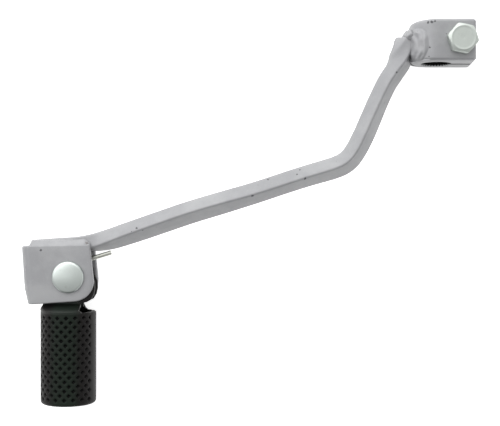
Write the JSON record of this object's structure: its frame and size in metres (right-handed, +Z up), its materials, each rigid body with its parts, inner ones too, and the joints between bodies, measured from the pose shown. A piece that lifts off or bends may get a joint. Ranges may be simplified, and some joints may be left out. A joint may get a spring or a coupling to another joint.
{
  "type": "gear shift lever",
  "caption": "Steel motorcycle gear shift lever: splined pinch clamp, bent flat arm and a sprung folding foot peg with a dimpled black tube.",
  "frame": {"origin": "centre of the splined bore, half way along it", "axes": "+Y along the bore, inboard, the way the shift shaft leaves; +X to the motorcycle's rear; +Z up; the arm reaches to -X and the foot peg points outboard, to -Y"},
  "size_m": [0.1673, 0.1409, 0.0242],
  "materials": {
    "silver_paint": "satin silver-grey paint",
    "zinc_plate": "bright zinc plate",
    "black_finish": "black, slightly glossy"
  },
  "bodies": {
    "lever": {"hub_clamp": "silver_paint", "arm": "silver_paint", "hub_weld_top": "silver_paint", "hub_weld_bottom": "silver_paint", "pinch_bolt": "zinc_plate", "bracket": "silver_paint", "bracket_weld_top": "silver_paint", "bracket_weld_bottom": "silver_paint", "pivot_rivet": "zinc_plate", "pivot_sleeve": "zinc_plate", "return_spring": "zinc_plate"},
    "peg": {"foot_peg": "black_finish"}
  },
  "joints": [
    {"name": "peg_fold", "type": "hinge", "parent": "lever", "child": "peg", "pos_m": [-0.1354, -0.0863, 0], "axis": [0, 0, 1], "range_deg": [0, 75], "stiffness_Nm_per_rad": 0.12, "springref_deg": -34.38, "deforming": ["return_spring"]}
  ]
}
